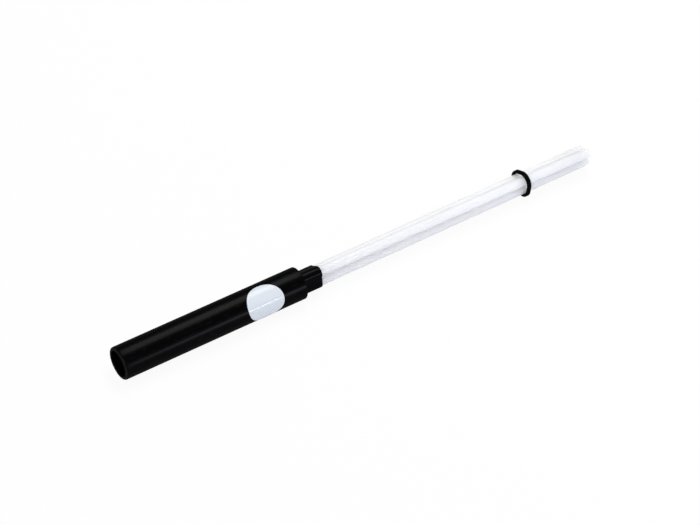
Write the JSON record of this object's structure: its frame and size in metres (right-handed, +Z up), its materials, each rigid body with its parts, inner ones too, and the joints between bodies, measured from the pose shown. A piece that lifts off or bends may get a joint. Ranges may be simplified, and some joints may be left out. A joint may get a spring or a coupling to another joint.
{
  "type": "samba drum stick",
  "caption": "Samba drum stick: black tube handle, slim milky plastic rods bundled in a neck sleeve, and a rubber ring that slides along the rods to set how they slap.",
  "frame": {"origin": "middle of the stick's length, under its axis, on the surface that the handle lies on", "axes": "+X along the stick from the handle's rear rim to the tips of the rods, +Z up"},
  "size_m": [0.333, 0.0203, 0.0203],
  "materials": {
    "handle": "black extruded PVC tube, satin gloss",
    "label": "plain silver foil, bare",
    "sleeve": "black heat-shrink sleeve, satin",
    "adhesive": "dark set hot-melt adhesive",
    "rods": "milky translucent nylon, smooth drawn rod",
    "ring": "black rubber, dull"
  },
  "bodies": {
    "stick": {"handle_tube": "handle", "label_disc": "label", "neck_sleeve": "sleeve", "hot_melt_core": "adhesive", "rod_top": "rods", "rod_front": "rods", "rod_back": "rods"},
    "ring": {"slide_ring": "ring"}
  },
  "joints": [
    {"name": "ring_slide", "type": "slide", "parent": "stick", "child": "ring", "axis": [1, 0, 0], "range_m": [-0.1475, 0.046]}
  ]
}
